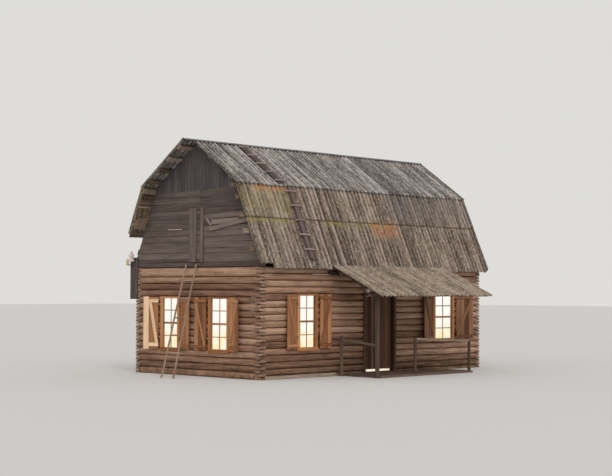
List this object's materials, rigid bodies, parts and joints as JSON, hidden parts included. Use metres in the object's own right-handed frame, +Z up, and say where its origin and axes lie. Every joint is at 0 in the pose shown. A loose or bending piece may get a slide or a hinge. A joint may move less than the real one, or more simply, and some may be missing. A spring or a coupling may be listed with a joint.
{
  "type": "log cabin",
  "caption": "Weathered log cabin with a corrugated gambrel roof, a lean-to porch over a double door, plank shutters that swing and ladders on wall and roof.",
  "frame": {"origin": "on the ground under the middle of the whole cabin's outline", "axes": "+X along the door wall away from the near gable, +Y from the door wall to the back wall, +Z up"},
  "size_m": [10.2567, 6.8854, 6.1145],
  "materials": {
    "weathered_logs": "weathered, matt",
    "floor_boards": "bare boards",
    "dark_timber": "dark weathered",
    "pale_batten": "rough sawn",
    "roof_sheets": "fibre cement, lichened",
    "ridge_metal": "dull",
    "grey_boards": "grey weathered",
    "brown_joinery": "brown stain",
    "shutter_boards": "brown stain",
    "door_boards": "brown stain",
    "hinge_iron": "black",
    "roof_ladder_wood": "grey weathered",
    "window_glass": "clear",
    "lamp_glass": "opal white"
  },
  "bodies": {
    "cabin": {"back_logs": "weathered_logs", "base_plank": "grey_boards", "corner_board": "brown_joinery", "door_casing": "brown_joinery", "door_frame": "brown_joinery", "door_lamp": "lamp_glass", "far_gable_logs": "weathered_logs", "front_logs_left": "weathered_logs", "front_logs_over_door": "weathered_logs", "front_logs_right": "weathered_logs", "gable_boards": "grey_boards", "gable_cover_boards": "grey_boards", "gable_peaks": "grey_boards", "ground_floor": "floor_boards", "leaning_ladder": "pale_batten", "lower_sheets": "roof_sheets", "middle_sheets": "roof_sheets", "near_gable_logs": "weathered_logs", "porch_deck": "dark_timber", "porch_post": "dark_timber", "porch_railing": "dark_timber", "porch_roof": "roof_sheets", "porch_timbers": "dark_timber", "rafters": "dark_timber", "ridge_cap": "ridge_metal", "roof_battens": "pale_batten", "roof_ladders": "roof_ladder_wood", "shutter_hinges": "hinge_iron", "tie_beams": "dark_timber", "upper_sheets": "roof_sheets", "window_frames": "brown_joinery", "window_glass": "window_glass"},
    "front_left_shutter_1_body": {"front_left_shutter_1": "shutter_boards"},
    "front_right_shutter_1_body": {"front_right_shutter_1": "shutter_boards"},
    "front_left_shutter_2_body": {"front_left_shutter_2": "shutter_boards"},
    "front_right_shutter_2_body": {"front_right_shutter_2": "shutter_boards"},
    "gable_right_shutter_1_body": {"gable_right_shutter_1": "shutter_boards"},
    "gable_left_shutter_1_body": {"gable_left_shutter_1": "shutter_boards"},
    "gable_right_shutter_2_body": {"gable_right_shutter_2": "shutter_boards"},
    "gable_left_shutter_2_body": {"gable_left_shutter_2": "shutter_boards"},
    "left_door_body": {"left_door_leaf": "door_boards"},
    "right_door_body": {"right_door_leaf": "door_boards", "door_handle": "hinge_iron"}
  },
  "joints": [
    {"name": "front_left_shutter_1_swing", "type": "hinge", "parent": "cabin", "child": "front_left_shutter_1_body", "pos_m": [-2.7425, -1.62526, 1.4], "axis": [0, 0, -1], "range_deg": [-176, 2]},
    {"name": "front_right_shutter_1_swing", "type": "hinge", "parent": "cabin", "child": "front_right_shutter_1_body", "pos_m": [-1.9425, -1.62526, 1.4], "axis": [0, 0, 1], "range_deg": [-171, 7]},
    {"name": "front_left_shutter_2_swing", "type": "hinge", "parent": "cabin", "child": "front_left_shutter_2_body", "pos_m": [2.7125, -1.62526, 1.4], "axis": [0, 0, -1], "range_deg": [-171, 7]},
    {"name": "front_right_shutter_2_swing", "type": "hinge", "parent": "cabin", "child": "front_right_shutter_2_body", "pos_m": [3.7125, -1.62526, 1.4], "axis": [0, 0, 1], "range_deg": [-135, 43]},
    {"name": "gable_right_shutter_1_swing", "type": "hinge", "parent": "cabin", "child": "gable_right_shutter_1_body", "pos_m": [-4.0528, -0.48996, 1.4], "axis": [0, 0, 1], "range_deg": [-169, 9]},
    {"name": "gable_left_shutter_1_swing", "type": "hinge", "parent": "cabin", "child": "gable_left_shutter_1_body", "pos_m": [-4.0528, 0.35004, 1.4], "axis": [0, 0, -1], "range_deg": [-175, 3]},
    {"name": "gable_right_shutter_2_swing", "type": "hinge", "parent": "cabin", "child": "gable_right_shutter_2_body", "pos_m": [-4.0528, 1.40004, 1.4], "axis": [0, 0, 1], "range_deg": [-176, 2]},
    {"name": "gable_left_shutter_2_swing", "type": "hinge", "parent": "cabin", "child": "gable_left_shutter_2_body", "pos_m": [-4.0528, 2.22004, 1.4], "axis": [0, 0, -1], "range_deg": [-136, 42]},
    {"name": "left_door_swing", "type": "hinge", "parent": "cabin", "child": "left_door_body", "pos_m": [-0.1105, -1.41496, 1], "axis": [0, 0, 1], "range_deg": [0, 90]},
    {"name": "right_door_swing", "type": "hinge", "parent": "cabin", "child": "right_door_body", "pos_m": [1.0395, -1.41496, 1], "axis": [0, 0, -1], "range_deg": [0, 90]}
  ]
}
